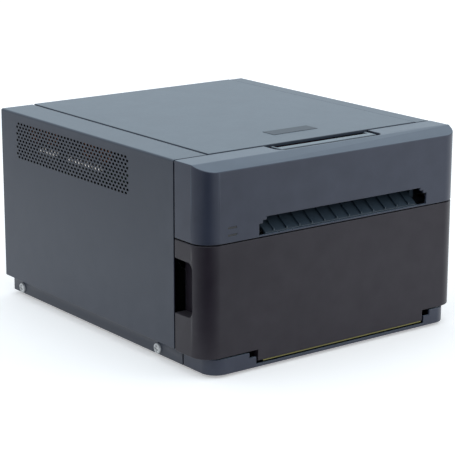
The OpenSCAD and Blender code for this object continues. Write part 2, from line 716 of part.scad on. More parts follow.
module spool(at, r, axle) {
    color("#ded9cc") {
        rod(at, [engine_x - 80, engine_x + 80], 7);
        for (x = [engine_x - 80, engine_x + 78]) rod(at, [x, x + 2], r + 2);
        rod(at, axle, shaft_r);
    }
    color("#7a2f4a") rod(at, [engine_x - 76, engine_x + 76], r);
}
module supply_spool() {
    spool(supply_at, 14.5, [left_plate[0] - 2, right_plate[1] + 1]);
}
module takeup_spool() {
    spool(takeup_at, 9, [left_plate[0] - 2, gear_x[0]]);
    color("#d9d4c4") spur(takeup_at, takeup_n, takeup_turn, gear_x);
}

// ---- Lid with the print head ----
module lid_panel() {
    knuckle_x = [-84, 101];
    color("#87949c") difference() {
        union() {
            span(lid_x, lid_y, [z_top - lid_t, z_top + lid_rise]);
            for (x = [lid_x[0] + 1, lid_x[1] - 2.2])
                span([x, x + 1.2], [lid_y[0] + 2, lid_y[1] - 6], [z_top - 5, z_top - lid_t]);
            for (x = [[lid_x[0] + 1, -94], [-74, 91], [111, lid_x[1] - 1]])
                span(x, [lid_y[1] - 1.2, lid_y[1]], [hinge_z + 1, z_top - lid_t]);
            for (x = [[lid_x[0] + 1, engine_x - 62], [engine_x + 62, lid_x[1] - 1]])
                span(x, [lid_y[0], lid_y[0] + 1.2], [z_top - 5, z_top - lid_t]);
            for (x = knuckle_x) {
                span([x - 4, x + 4], [hinge_y - 3.2, hinge_y + 3.2], [hinge_z, z_top - lid_t]);
                rod([hinge_y, hinge_z], [x - 4, x + 4], 3.2);
            }
            // Ears that carry the latch shaft
            for (x = [-70, 84]) profile_x([x, x + 3],
                [[lever_y - 6, z_top - lid_t], [lever_y - 5, lever_z - 4], [lever_y + 5, lever_z - 4],
                 [lever_y + 12, z_top - lid_t]]);
        }
        for (x = knuckle_x) rod([hinge_y, hinge_z], [x - 5, x + 5], hinge_pin_r);
        rod([lever_y, lever_z], [-72, 90], shaft_r + run);
    }
}
module lid_label_plate() {
    color("#6d7a83") span([engine_x - 23, engine_x + 24.5], [y_front + 67.6, y_front + 83],
                          [z_top + lid_rise, z_top + lid_rise + 0.25]);
}
module lid_hinge_pins() {
    color("silver") for (x = [-84, 101]) rod([hinge_y, hinge_z], [x - 9, x + 9], hinge_pin_r);
}
module head_bracket() {
    color("#8b9198") {
        span([engine_x - 84, engine_x + 84], [-34, 16], [z_top - lid_t - 4, z_top - lid_t - 2.5]);
        for (x = [engine_x - 80, engine_x + 76])
            span([x, x + 4], [-30, 10], [z_top - lid_t - 2.5, z_top - lid_t]);
        for (x = [engine_x - 84, engine_x + 82.5]) span([x, x + 1.5], [-28, 4], [140, z_top - lid_t - 4]);
    }
}
module thermal_head() {
    color("#3f6f6a") span([engine_x - 82, engine_x + 82], [-29, 3], [134.5, 137]);
    color("#c9c6bd") profile_x([engine_x - 79, engine_x + 79],
        [[-24, 134.5], [-22, 131.2], [-18, 131.2], [-16, 134.5]]);
    color("silver") profile_x([engine_x - 79, engine_x + 79],
        [[-29, 134.5], [-29, 132.8], [-27.4, 132.4], [-26.4, 134.5]]);
}
module head_heat_sink() {
    color("#a9aeb4") {
        span([engine_x - 82, engine_x + 82], [-29, 3], [137, 142]);
        for (i = [0:6]) span([engine_x - 78, engine_x + 78], [-28 + 4.9 * i, -26.4 + 4.9 * i], [142, 154]);
    }
}
module head_springs() {
    color("silver") for (x = [engine_x - 50, engine_x + 50]) rod_up_spring(x, -13, 154, z_top - lid_t - 4);
}
// Plain sleeve that fills the space of a closed coil spring
module rod_up_spring(x, y, low, high) {
    difference() {
        post(x, y, [low, high], 4);
        post(x, y, [low + 1, high - 1], 3);
    }
}
module lid_lever() {
    bar_half = tray_front - 1.5;
    front = tray_y + 3.8;
    arm = [[front, z_top - 0.3], [lever_y - 10.8, z_top - 0.3], [lever_y - 8.8, lever_z + 3],
           [lever_y, lever_z + 4.6], [lever_y + 4, lever_z + 2], [lever_y + 4, lever_z - 3],
           [lever_y - 2, lever_z - 4.6], [lever_y - 10, lever_z - 4], [lever_y - 16, z_top - 6.5],
           [front, z_top - 6.5]];
    color("#7f8c94") difference() {
        union() {
            span([engine_x - bar_half, engine_x + bar_half], [front, front + 8.6], [z_top - 6.5, z_top - 0.3]);
            for (x = [-bar_half, bar_half - 2.5]) profile_x([engine_x + x, engine_x + x + 2.5], arm);
        }
        rod([lever_y, lever_z], [engine_x - 80, engine_x + 80], shaft_r);
        above_facet(0.3);
    }
}
module latch_shaft() {
    hook = [[lever_y - 1, latch_pin_z - 7.5], [lever_y + 5, latch_pin_z - 7.5],
            [lever_y + 8, latch_pin_z - 3.5], [lever_y + 3, latch_pin_z - 3], [lever_y + 3, lever_z],
            [lever_y - 3, lever_z], [lever_y - 1, lever_z - 6]];
    color("#9aa0a6") {
        rod([lever_y, lever_z], [-97, 113], shaft_r);
        for (x = [-96.5, 108.5]) {
            profile_x([x, x + 4], hook);
            rod([lever_y, lever_z], [x, x + 4], 5);
        }
    }
}

// ---- Paper drawer ----
module finger_recess(wall) {
    r = 5;
    low = recess_z[0] - wall;
    high = recess_z[1] + wall;
    for (s = [0, 1]) mirror([s, 0, 0]) translate([-half_w - (wall > 0 ? 0 : 1), 0, 0]) {
        depth = recess_depth + (wall > 0 ? wall : 1);
        rotate([90, 0, 90]) linear_extrude(depth) difference() {
            union() {
                translate([recess_y - wall + r, low])
                    square([y_seam - side_gap - recess_y + wall - r, high - low]);
                translate([recess_y - wall, low + r]) square([20, high - low - 2 * r]);
                for (z = [low + r, high - r]) translate([recess_y - wall + r, z]) circle(r);
            }
            if (wall > 0) translate([y_seam - side_gap, low - 1]) square([20, high - low + 2]);
        }
    }
}
module drawer_front() {
    top = z_seam - seam_gap / 2;
    back = y_seam - side_gap;
    color("#3a373d") difference() {
        union() {
            difference() {
                front_block(0, [z_edge, top], back);
                front_block(skin, [z_edge - 1, top - skin], back + 5);
                translate([0, 0, top - 3 * skin]) linear_extrude(9)
                    front_plan(half_w - 14, y_front + 14, back + 5, 5);
            }
            intersection() {
                finger_recess(1.8);
                front_block(0, [z_edge, top], back);
            }
            // Tongue that reaches down between the corner blocks of the base
            span(tongue_x, [y_front, y_front + skin], [z_base + 5.2, z_edge + 2]);
            // Lower cross wall that carries the tray
            span([drawer_x[0], drawer_x[1]], [y_front + skin, y_front + skin + 6], [z_base + 7, z_edge + 26]);
        }
        finger_recess(0);
    }
}
module drawer_edge_strip() {
    color("#8f8a45") span([tongue_x[0] + 5.5, tongue_x[1] - 1.5], [y_front + 0.1, y_front + 1.6],
                          [z_base + 4.4, z_base + 5.2]);
}
module drawer_tray() {
    color("#2f3138") {
        span([drawer_x[0], drawer_x[1]], [y_front + skin + 6, drawer_back], [drawer_floor, drawer_floor + 2]);
        for (x = [drawer_x[0], drawer_x[1] - 2])
            span([x, x + 2], [y_front + skin + 6, drawer_back], [drawer_floor + 2, 40]);
        span([drawer_x[0] + 2, drawer_x[1] - 2], [drawer_back - 2, drawer_back], [drawer_floor + 2, 40]);
        span([drawer_x[0] - 10, drawer_x[0]], [-112, drawer_back], [16.6, 19.2]);
        span([drawer_x[1], drawer_x[1] + 10], [-112, drawer_back], [16.6, 19.2]);
    }
}
cradle_x = [engine_x - 86, engine_x + 82];
module roll_cradle() {
    color("#3f434b") for (x = cradle_x) difference() {
        profile_x([x, x + 4],
            [[roll_at[0] - 34, drawer_floor + 2], [roll_at[0] + 34, drawer_floor + 2],
             [roll_at[0] + 14, roll_at[1] + 9], [roll_at[0] - 14, roll_at[1] + 9]]);
        rod(roll_at, [x - 1, x + 5], 5 + run);
        span([x - 1, x + 5], [roll_at[0] - 5 - run, roll_at[0] + 5 + run], [roll_at[1], roll_at[1] + 20]);
    }
}
module paper_roll() {
    color("#f1efe8") difference() {
        rod(roll_at, media_x, roll_r);
        rod(roll_at, [media_x[0] - 1, media_x[1] + 1], 16);
    }
}
module roll_flanges() {
    color("#55616c") for (s = [-1, 1]) {
        face = engine_x + s * media_w / 2;
        rod(roll_at, s < 0 ? [face - 3, face] : [face, face + 3], roll_r + 1.5);
        rod(roll_at, s < 0 ? [face - 12, face + 30] : [face - 30, face + 12], 5);
        rod(roll_at, s < 0 ? [face, face + 30] : [face - 30, face], 16);
    }
}

base_pan();
rubber_feet();
front_base_cover();
left_side_cover();
right_side_cover();
rear_panel();
front_bezel();
status_light_pipes();
output_ramp();
left_frame_plate();
right_frame_plate();
frame_tie_bars();
shaft_bushes();
cover_screws();
lid_hinge_brackets();
latch_pins();
drawer_rails();
power_supply_board();
power_supply_coils();
power_supply_capacitors();
power_supply_heat_sink();
power_supply_plugs();
main_board();
usb_port();
mains_inlet();
power_switch_housing();
power_rocker();
fan_housing();
fan_rotor();
feed_motor();
ribbon_motor();
paper_guide();
ribbon_web();
cutter_beam();
cutter_carriage();
lid_panel();
lid_label_plate();
lid_hinge_pins();
head_bracket();
thermal_head();
head_heat_sink();
head_springs();
lid_lever();
latch_shaft();
drawer_front();
drawer_edge_strip();
drawer_tray();
roll_cradle();
paper_roll();
roll_flanges();
platen_roller();
platen_gear();
capstan_roller();
pinch_roller();
small_idler_gear();
large_idler_gear();
feed_pinion();
supply_spool();
takeup_spool();
ribbon_pinion();
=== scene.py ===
# %% [markdown]
# A compact photo printer, dressed for its picture.
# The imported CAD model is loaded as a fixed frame. Every length is in metres, +Z is up and the front looks
# along -Y. What follows adds rounded edges, small repeated parts, finishes, light and a camera.
# %% Load the frame
import json
import math
import bmesh
import bpy
from mathutils import Matrix, Vector


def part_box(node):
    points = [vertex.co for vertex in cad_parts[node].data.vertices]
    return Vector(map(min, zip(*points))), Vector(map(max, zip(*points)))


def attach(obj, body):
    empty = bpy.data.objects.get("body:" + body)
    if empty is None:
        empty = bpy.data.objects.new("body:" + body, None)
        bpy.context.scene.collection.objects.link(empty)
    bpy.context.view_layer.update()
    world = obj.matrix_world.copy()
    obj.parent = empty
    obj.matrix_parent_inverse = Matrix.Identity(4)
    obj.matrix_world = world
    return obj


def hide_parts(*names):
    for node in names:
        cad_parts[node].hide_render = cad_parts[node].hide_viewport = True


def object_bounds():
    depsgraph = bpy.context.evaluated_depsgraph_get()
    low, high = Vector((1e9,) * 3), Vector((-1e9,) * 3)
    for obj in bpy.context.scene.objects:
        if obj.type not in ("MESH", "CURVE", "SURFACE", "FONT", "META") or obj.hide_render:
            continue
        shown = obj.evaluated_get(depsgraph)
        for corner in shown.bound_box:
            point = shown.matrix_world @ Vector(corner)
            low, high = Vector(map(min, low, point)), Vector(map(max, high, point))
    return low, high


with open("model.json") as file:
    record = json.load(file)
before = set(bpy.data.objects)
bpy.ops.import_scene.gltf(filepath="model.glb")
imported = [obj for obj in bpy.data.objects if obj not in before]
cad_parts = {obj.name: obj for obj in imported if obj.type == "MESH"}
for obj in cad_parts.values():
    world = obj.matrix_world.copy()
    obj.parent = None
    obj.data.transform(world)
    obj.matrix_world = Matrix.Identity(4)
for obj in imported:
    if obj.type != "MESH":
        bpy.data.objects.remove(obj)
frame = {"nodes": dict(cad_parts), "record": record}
cad_low, cad_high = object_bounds()
nodes = frame["nodes"]
scene = bpy.context.scene
print("printer", [round((b - a) * 1000, 1) for a, b in zip(cad_low, cad_high)], "mm")

# %% [markdown]
# The camera comes first, because everything is judged through it. Its lens and place were fitted to the
# edges of the case in the photograph: a long lens, a little over a metre away, looking down at the left
# front corner. A long lens keeps the case's sides nearly parallel, as a product picture does.
# %% Camera
def place_camera(place, azimuth, elevation, roll, lens):
    """Camera at place, turned by azimuth about Z, tilted down by elevation, then rolled."""
    a, e, r = (math.radians(v) for v in (azimuth, elevation, roll))
    back = Vector((math.sin(a) * math.cos(e), -math.cos(a) * math.cos(e), math.sin(e)))
    right = (-back).cross(Vector((0, 0, 1))).normalized()
    up = right.cross(-back)
    right, up = right * math.cos(r) + up * math.sin(r), up * math.cos(r) - right * math.sin(r)
    data = bpy.data.cameras.new("photo_camera")
    data.lens, data.sensor_width, data.clip_end = lens, 36, 20
    camera = bpy.data.objects.new("photo_camera", data)
    scene.collection.objects.link(camera)
    rows = [(right[i], up[i], back[i], place[i]) for i in range(3)]
    camera.matrix_world = Matrix(rows + [(0, 0, 0, 1)])
    scene.camera = camera
    return camera


camera = place_camera((-0.9150, -1.2193, 0.4712), -36.968, 14.597, 0.150, 138.91)
print("lens", round(camera.data.lens, 1), "mm")

# %% [markdown]
# Studio light. A pale room does most of the work: the world is an even, slightly cool white, and the satin
# covers mirror it at a low angle, so the top looks far paler than the sides though the paint is the same.
# Faces that look up are also given a pale, cool colour, painted top light with a little dust in it.
# Two soft lamps add shape. A low black card stands behind the camera and a dark cloth lies in front of the
# printer's corner, both seen only in reflections. They keep the rounded corner dark, which is how a
# photographer draws a soft corner on a dark case. The floor also turns darker away from the left side, again
# only in reflections, so that side falls off gently towards its top.
# %% World, lamps, floor and black card
def soft_lamp(name, place, aim, size, watts, colour=(1, 1, 1)):
    data = bpy.data.lights.new(name, "AREA")
    data.shape, data.size, data.energy, data.color = "DISK", size, watts, colour
    lamp = bpy.data.objects.new(name, data)
    scene.collection.objects.link(lamp)
    lamp.location = place
    lamp.rotation_mode = "QUATERNION"
    lamp.rotation_quaternion = (Vector(aim) - Vector(place)).to_track_quat("-Z", "Y")
    return lamp


def math_node(tree, kind, a, b=None, clamp=False):
    node = tree.nodes.new("ShaderNodeMath")
    node.operation, node.use_clamp = kind, clamp
    for i, value in enumerate((a, b)):
        if value is None:
            continue
        if isinstance(value, (int, float)):
            node.inputs[i].default_value = value
        else:
            tree.links.new(value, node.inputs[i])
    return node.outputs[0]


def direct_view(tree):
    """1 for camera, glossy and transmission rays, which see the white background; 0 for the rest."""
    rays = tree.nodes.new("ShaderNodeLightPath").outputs
    seen = math_node(tree, "MAXIMUM", rays["Is Camera Ray"], rays["Is Glossy Ray"])
    return math_node(tree, "MAXIMUM", seen, rays["Is Transmission Ray"])


def paint_world(level, tint, mirrored):
    world = bpy.data.worlds.new("studio")
    scene.world = world
    world.use_nodes = True
    tree = world.node_tree
    light = tree.nodes["Background"]
    light.inputs["Color"].default_value = tint + (1,)
    light.inputs["Strength"].default_value = level
    white = tree.nodes.new("ShaderNodeBackground")
    white.inputs["Strength"].default_value = 1.0
    seen = tree.nodes.new("ShaderNodeMix")
    seen.data_type = "RGBA"
    seen.inputs["A"].default_value, seen.inputs["B"].default_value = mirrored + (1,), (1, 1, 1, 1)
    tree.links.new(tree.nodes.new("ShaderNodeLightPath").outputs["Is Camera Ray"], seen.inputs["Factor"])
    tree.links.new(seen.outputs["Result"], white.inputs["Color"])
    mix = tree.nodes.new("ShaderNodeMixShader")
    tree.links.new(direct_view(tree), mix.inputs[0])
    tree.links.new(light.outputs[0], mix.inputs[1])
    tree.links.new(white.outputs[0], mix.inputs[2])
    tree.links.new(mix.outputs[0], tree.nodes["World Output"].inputs[0])


def stage_sheet(name, corners, colour, rough=0.9):
    mesh = bpy.data.meshes.new(name)
    mesh.from_pydata(corners, [], [(0, 1, 2, 3)])
    sheet = bpy.data.objects.new(name, mesh)
    scene.collection.objects.link(sheet)
    material = bpy.data.materials.new(name)
    material.use_nodes = True
    shader = material.node_tree.nodes["Principled BSDF"]
    shader.inputs["Base Color"].default_value = colour + (1,)
    shader.inputs["Roughness"].default_value = rough
    shader.inputs["Specular IOR Level"].default_value = 0.1
    mesh.materials.append(material)
    return sheet, material.node_tree, shader


def ramp_node(tree, value, low, high):
    """0 below low, 1 above high, smooth between."""
    node = tree.nodes.new("ShaderNodeMapRange")
    node.interpolation_type = "SMOOTHSTEP"
    node.inputs["From Min"].default_value, node.inputs["From Max"].default_value = low, high
    tree.links.new(value, node.inputs["Value"])
    return node.outputs["Result"]


def along(tree, direction, start):
    """Distance of a floor point from start, measured along direction."""
    place = tree.nodes.new("ShaderNodeTexCoord").outputs["Object"]
    dot = tree.nodes.new("ShaderNodeVectorMath")
    dot.operation = "DOT_PRODUCT"
    dot.inputs[1].default_value = direction
    tree.links.new(place, dot.inputs[0])
    return math_node(tree, "SUBTRACT", dot.outputs["Value"], Vector(direction).dot(start))


def make_floor(low):
    corners = [(-6, -6, low), (6, -6, low), (6, 6, low), (-6, 6, low)]
    floor, tree, shader = stage_sheet("pale_floor", corners, (0.93, 0.93, 0.93))
    ahead = ramp_node(tree, along(tree, OUT, CORNER), 0.03, 0.16)
    aside = ramp_node(tree, math_node(tree, "ABSOLUTE", along(tree, ACROSS, CORNER)), 0.50, 0.10)
    beside = ramp_node(tree, along(tree, (-1, 0, 0), Vector((cad_low[0], 0, 0))), 0.15, 0.75)
    in_front = math_node(tree, "MULTIPLY", ahead, aside)
    dark = math_node(tree, "MAXIMUM", in_front, math_node(tree, "MULTIPLY", beside, 0.5))
    camera_ray = tree.nodes.new("ShaderNodeLightPath").outputs["Is Camera Ray"]
    covered = math_node(tree, "MULTIPLY", dark, math_node(tree, "SUBTRACT", 1.0, camera_ray))
    cloth = tree.nodes.new("ShaderNodeMix")
    cloth.data_type = "RGBA"
    cloth.inputs["A"].default_value = (0.93, 0.93, 0.93, 1)
    cloth.inputs["B"].default_value = (0.03, 0.03, 0.03, 1)
    tree.links.new(covered, cloth.inputs["Factor"])
    tree.links.new(cloth.outputs["Result"], shader.inputs["Base Color"])
    glow = math_node(tree, "MULTIPLY", direct_view(tree), 0.36)
    glow = math_node(tree, "MULTIPLY", glow, math_node(tree, "SUBTRACT", 1.0, covered))
    tree.links.new(glow, shader.inputs["Emission Strength"])
    shader.inputs["Emission Color"].default_value = (1, 1, 1, 1)
    return floor


def black_card(name, corners):
    card = stage_sheet(name, corners, (0.015, 0.015, 0.016))[0]
    card.visible_camera = False
    return card


def toward_camera(distance, side, height):
    """A point at that distance from the printer's front left corner, out towards the camera."""
    return tuple(CORNER + OUT * distance + ACROSS * side + Vector((0, 0, height)))


# The floor point under the rounded front left corner, the way from there to the camera, and across it
CORNER, OUT, ACROSS = Vector((-0.1275, -0.1450, 0)), Vector((-0.60, -0.80, 0)), Vector((0.80, -0.60, 0))
paint_world(0.80, (0.93, 1.0, 1.06), (0.87, 0.97, 1.04))
soft_lamp("top_softbox", (-0.2, 0.2, 1.9), (0, 0, 0.1), 1.6, 4.5, (0.90, 1.0, 1.04))
soft_lamp("right_softbox", (1.4, -1.5, 0.9), (0, 0, 0.1), 1.2, 5)
make_floor(0)
black_card("standing_card", [toward_camera(d, w, h) for d, w, h in
                             ((1.5, -0.6, 0.01), (1.5, 0.6, 0.01), (1.5, 0.6, 0.52), (1.5, -0.6, 0.52))])
scene.view_settings.view_transform = "Standard"

# %% [markdown]
# Shader node groups. Three effects are shared by many finishes: the fine grain of powder coat and of
# moulded plastic, edges rubbed a little paler, and a pale colour on what faces up, partly dust and partly
# painted top light, the brightness that light from above gives. Each is built once as a group with named
# sockets, and each material feeds it its own sizes.
# %% Shared effects
def new_group(name, inputs, outputs):
    group = bpy.data.node_groups.new(name, "ShaderNodeTree")
    for label, value in inputs:
        socket = group.interface.new_socket(label, in_out="INPUT", socket_type="NodeSocketFloat")
        socket.default_value = value
    for label, kind in outputs:
        group.interface.new_socket(label, in_out="OUTPUT", socket_type=kind)
    return group, group.nodes.new("NodeGroupInput"), group.nodes.new("NodeGroupOutput")


def noise_node(tree, vector, scale, detail=3.0):
    node = tree.nodes.new("ShaderNodeTexNoise")
    node.inputs["Detail"].default_value = detail
    tree.links.new(vector, node.inputs["Vector"])
    if isinstance(scale, (int, float)):
        node.inputs["Scale"].default_value = scale
    else:
        tree.links.new(scale, node.inputs["Scale"])
    return node.outputs["Fac"]


def build_grain():
    """Height of fine grain over soft orange peel, and a broad mottle, all by size in metres."""
    group, inlet, outlet = new_group(
        "surface_grain", [("Grain Size", 0.0006), ("Peel Size", 0.003), ("Peel Share", 0.4)],
        [("Height", "NodeSocketFloat"), ("Mottle", "NodeSocketFloat")])
    place = group.nodes.new("ShaderNodeTexCoord").outputs["Object"]
    grain = noise_node(group, place, math_node(group, "DIVIDE", 1.0, inlet.outputs["Grain Size"]), 2.0)
    peel = noise_node(group, place, math_node(group, "DIVIDE", 1.0, inlet.outputs["Peel Size"]), 1.0)
    share = inlet.outputs["Peel Share"]
    peel_part = math_node(group, "MULTIPLY", peel, share)
    grain_part = math_node(group, "MULTIPLY", grain, math_node(group, "SUBTRACT", 1.0, share))
    group.links.new(math_node(group, "ADD", peel_part, grain_part), outlet.inputs["Height"])
    group.links.new(noise_node(group, place, 14.0, 4.0), outlet.inputs["Mottle"])
    return group


def build_edge_rub():
    """Mask of the rounded edges, broken up by noise, read from the edge_band attribute."""
    group, inlet, outlet = new_group("edge_rub", [("Amount", 0.5)], [("Mask", "NodeSocketFloat")])
    band = group.nodes.new("ShaderNodeAttribute")
    band.attribute_name = "edge_band"
    place = group.nodes.new("ShaderNodeTexCoord").outputs["Object"]
    patchy = math_node(group, "MULTIPLY_ADD", noise_node(group, place, 60.0, 4.0), 1.6)
    patchy.node.inputs[2].default_value = -0.3
    patchy.node.use_clamp = True
    worn = math_node(group, "MULTIPLY", band.outputs["Fac"], patchy)
    mask = math_node(group, "MULTIPLY", worn, inlet.outputs["Amount"])
    group.links.new(mask, outlet.inputs["Mask"])
    return group


def build_dust_and_top_light():
    """Mask of faces that look up, a little thicker in patches: dust, and painted top light."""
    group, inlet, outlet = new_group("dust_and_painted_top_light", [("Amount", 0.2)], [("Mask", "NodeSocketFloat")])
    coord = group.nodes.new("ShaderNodeTexCoord")
    split = group.nodes.new("ShaderNodeSeparateXYZ")
    group.links.new(coord.outputs["Normal"], split.inputs[0])
    up = math_node(group, "POWER", math_node(group, "MAXIMUM", split.outputs["Z"], 0.0), 4.0)
    patches = noise_node(group, coord.outputs["Object"], 30.0, 6.0)
    calm = math_node(group, "MULTIPLY_ADD", patches, 0.14)
    calm.node.inputs[2].default_value = 0.43
    mask = math_node(group, "MULTIPLY", math_node(group, "MULTIPLY", up, calm), inlet.outputs["Amount"])
    group.links.new(mask, outlet.inputs["Mask"])
    return group


grain_group, rub_group, dust_and_top_light_group = build_grain(), build_edge_rub(), build_dust_and_top_light()
print("shared effects:", grain_group.name, rub_group.name, dust_and_top_light_group.name)

# %% [markdown]
# A finish is a Principled shader fed by those groups. The colour is mixed a little lighter and darker by
# the mottle, paler where edges are rubbed, paler and cooler where faces look up, which is dust and painted
# top light, and the grain gives both bump and small changes in roughness. Everything that is the same all
# over is set on the shader's own sockets.
# %% Painted and moulded finishes
def group_node(tree, group, **values):
    node = tree.nodes.new("ShaderNodeGroup")
    node.node_tree = group
    for label, value in values.items():
        node.inputs[label.replace("_", " ")].default_value = value
    return node


def mix_colour(tree, factor, first, second):
    node = tree.nodes.new("ShaderNodeMix")
    node.data_type = "RGBA"
    for label, value in (("Factor", factor), ("A", first), ("B", second)):
        if isinstance(value, (int, float, tuple)):
            node.inputs[label].default_value = value
        else:
            tree.links.new(value, node.inputs[label])
    return node.outputs["Result"]


def finish(name, colour, rough=0.45, grain=0.0006, peel=0.003, share=0.4, depth=0.00004, mottle=0.06,
           rub=0.3, dust_and_top_light=0.10, dust_and_light_colour=(0.42, 0.42, 0.41), specular=0.5, metal=0.0, coat=0.0, rough_swing=0.08):
    material = bpy.data.materials.new(name)
    material.use_nodes = True
    tree = material.node_tree
    shader = tree.nodes["Principled BSDF"]
    grains = group_node(tree, grain_group, Grain_Size=grain, Peel_Size=peel, Peel_Share=share)
    rubbed = group_node(tree, rub_group, Amount=rub)
    dust_and_top_lit = group_node(tree, dust_and_top_light_group, Amount=dust_and_top_light)
    darker = tuple(c * (1 - mottle) for c in colour) + (1,)
    lighter = tuple(min(1, c * (1 + mottle)) for c in colour) + (1,)
    base = mix_colour(tree, grains.outputs["Mottle"], darker, lighter)
    worn = tuple(min(1, c * 1.6 + 0.03) for c in colour) + (1,)
    base = mix_colour(tree, rubbed.outputs["Mask"], base, worn)
    # Faces that look up are mixed towards a pale colour: partly dust, partly painted top light
    base = mix_colour(tree, dust_and_top_lit.outputs["Mask"], base, dust_and_light_colour + (1,))
    tree.links.new(base, shader.inputs["Base Color"])
    spread = math_node(tree, "MULTIPLY_ADD", grains.outputs["Height"], rough_swing)
    spread.node.inputs[2].default_value = rough - rough_swing / 2
    tree.links.new(spread, shader.inputs["Roughness"])
    bump = tree.nodes.new("ShaderNodeBump")
    bump.inputs["Strength"].default_value = 0.6
    bump.inputs["Distance"].default_value = depth
    tree.links.new(grains.outputs["Height"], bump.inputs["Height"])
    tree.links.new(bump.outputs[0], shader.inputs["Normal"])
    shader.inputs["Metallic"].default_value = metal
    shader.inputs["Specular IOR Level"].default_value = specular
    shader.inputs["Coat Weight"].default_value = coat
    shader.inputs["Coat Roughness"].default_value = 0.08
    return material


# Painted top light: the pale, cool colour that up-facing painted faces are mixed towards, standing in for
# light from above, with a little dust
COOL_TOP_LIGHT = (0.28, 0.39, 0.48)
FINISHES = {
    "panel_slate": finish("slate_powder_coat", (0.030, 0.037, 0.056), 0.36, 0.0007, 0.0035, 0.5, 0.00004,
                          dust_and_top_light=0.46, dust_and_light_colour=COOL_TOP_LIGHT, specular=0.38),
    "lid_grey": finish("lid_powder_coat", (0.034, 0.044, 0.064), 0.36, 0.0007, 0.0035, 0.5, 0.00004,
                       dust_and_top_light=0.46, dust_and_light_colour=COOL_TOP_LIGHT, specular=0.38),
    "bezel_plastic": finish("bezel_moulding", (0.029, 0.035, 0.058), 0.34, 0.0005, 0.002, 0.3, 0.00003,
                            dust_and_top_light=0.58, dust_and_light_colour=(0.30, 0.40, 0.49), specular=0.38),
    "drawer_plastic": finish("drawer_moulding", (0.0155, 0.0115, 0.0185), 0.36, 0.0005, 0.002, 0.3, 0.00003,
                             specular=0.30),
    "lever_plastic": finish("lever_moulding", (0.036, 0.046, 0.064), 0.32, 0.0005, 0.002, 0.3, 0.00003,
                            dust_and_top_light=0.62, dust_and_light_colour=(0.30, 0.42, 0.50)),
    "label_grey": finish("bare_label", (0.034, 0.042, 0.056), 0.46, 0.0004, 0.002, 0.3, 0.00002, rub=0,
                         dust_and_top_light=0.20, dust_and_light_colour=COOL_TOP_LIGHT, specular=0.30),
    "chute_plastic": finish("chute_moulding", (0.020, 0.036, 0.054), 0.36, 0.0005, 0.002, 0.3, 0.00003),
    "black_plastic": finish("black_moulding", (0.012, 0.012, 0.014), 0.42, 0.0005, 0.002, 0.3, 0.00003),
    "tray_plastic": finish("dark_moulding", (0.022, 0.024, 0.029), 0.45, 0.0006, 0.002, 0.3, 0.00003),
    "light_pipe": finish("smoked_light_pipe", (0.010, 0.011, 0.014), 0.18, 0.0006, 0.004, 0.5, 0.00001,
                         dust_and_top_light=0),
    "strip_yellow": finish("dull_yellow_strip", (0.20, 0.18, 0.05), 0.5, 0.0006, 0.003, 0.5, 0.00002),
    "rubber_black": finish("black_rubber", (0.014, 0.014, 0.015), 0.75, 0.0004, 0.0015, 0.3, 0.00006,
                           specular=0.3),
    "board_green": finish("solder_mask", (0.016, 0.085, 0.030), 0.35, 0.0006, 0.003, 0.5, 0.00002,
                          coat=0.4),
    "copper_coil": finish("enamelled_copper", (0.46, 0.15, 0.045), 0.3, 0.0004, 0.002, 0.3, 0.00003,
                          metal=0.8),
    "capacitor_blue": finish("capacitor_sleeve", (0.012, 0.022, 0.055), 0.25, 0.0006, 0.003, 0.5, 0.00001,
                             coat=0.4),
    "plug_white": finish("plug_plastic", (0.70, 0.69, 0.65), 0.4, 0.0006, 0.003, 0.5, 0.00002),
    "gear_nylon": finish("natural_acetal", (0.62, 0.60, 0.54), 0.38, 0.0006, 0.003, 0.5, 0.00002),
    "motor_black": finish("black_motor_can", (0.022, 0.024, 0.028), 0.35, 0.0006, 0.003, 0.5, 0.00002),
    "head_ceramic": finish("coated_head_board", (0.08, 0.21, 0.19), 0.2, 0.0006, 0.003, 0.5, 0.00001,
                           coat=0.5),
    "paper_white": finish("photo_paper", (0.80, 0.79, 0.76), 0.4, 0.0006, 0.003, 0.5, 0.00001, dust_and_top_light=0),
    "dye_ribbon": finish("dye_film", (0.13, 0.016, 0.045), 0.15, 0.0006, 0.006, 0.7, 0.00002, dust_and_top_light=0),
}
print(len(FINISHES), "painted and moulded finishes")

# %% [markdown]
# Bare metals get their own recipe. Rolled sheet shows fine streaks along one direction, so the noise is
# stretched, and it changes the roughness more than the colour, which is how brushed steel really looks.
# %% Metal finishes
def metal_finish(name, colour, rough, stretch=(1, 1, 1), streak=900.0, depth=0.00001, swing=0.18):
    material = bpy.data.materials.new(name)
    material.use_nodes = True
    tree = material.node_tree
    shader = tree.nodes["Principled BSDF"]
    coord = tree.nodes.new("ShaderNodeTexCoord")
    mapping = tree.nodes.new("ShaderNodeMapping")
    mapping.inputs["Scale"].default_value = stretch
    tree.links.new(coord.outputs["Object"], mapping.inputs["Vector"])
    streaks = noise_node(tree, mapping.outputs[0], streak, 3.0)
    blotch = noise_node(tree, coord.outputs["Object"], 40.0, 4.0)
    dark = tuple(c * 0.88 for c in colour) + (1,)
    tree.links.new(mix_colour(tree, blotch, dark, colour + (1,)), shader.inputs["Base Color"])
    level = math_node(tree, "MULTIPLY_ADD", streaks, swing)
    level.node.inputs[2].default_value = rough - swing / 2
    tree.links.new(level, shader.inputs["Roughness"])
    bump = tree.nodes.new("ShaderNodeBump")
    bump.inputs["Strength"].default_value = 0.5
    bump.inputs["Distance"].default_value = depth
    tree.links.new(streaks, bump.inputs["Height"])
    tree.links.new(bump.outputs[0], shader.inputs["Normal"])
    shader.inputs["Metallic"].default_value = 1.0
    return material


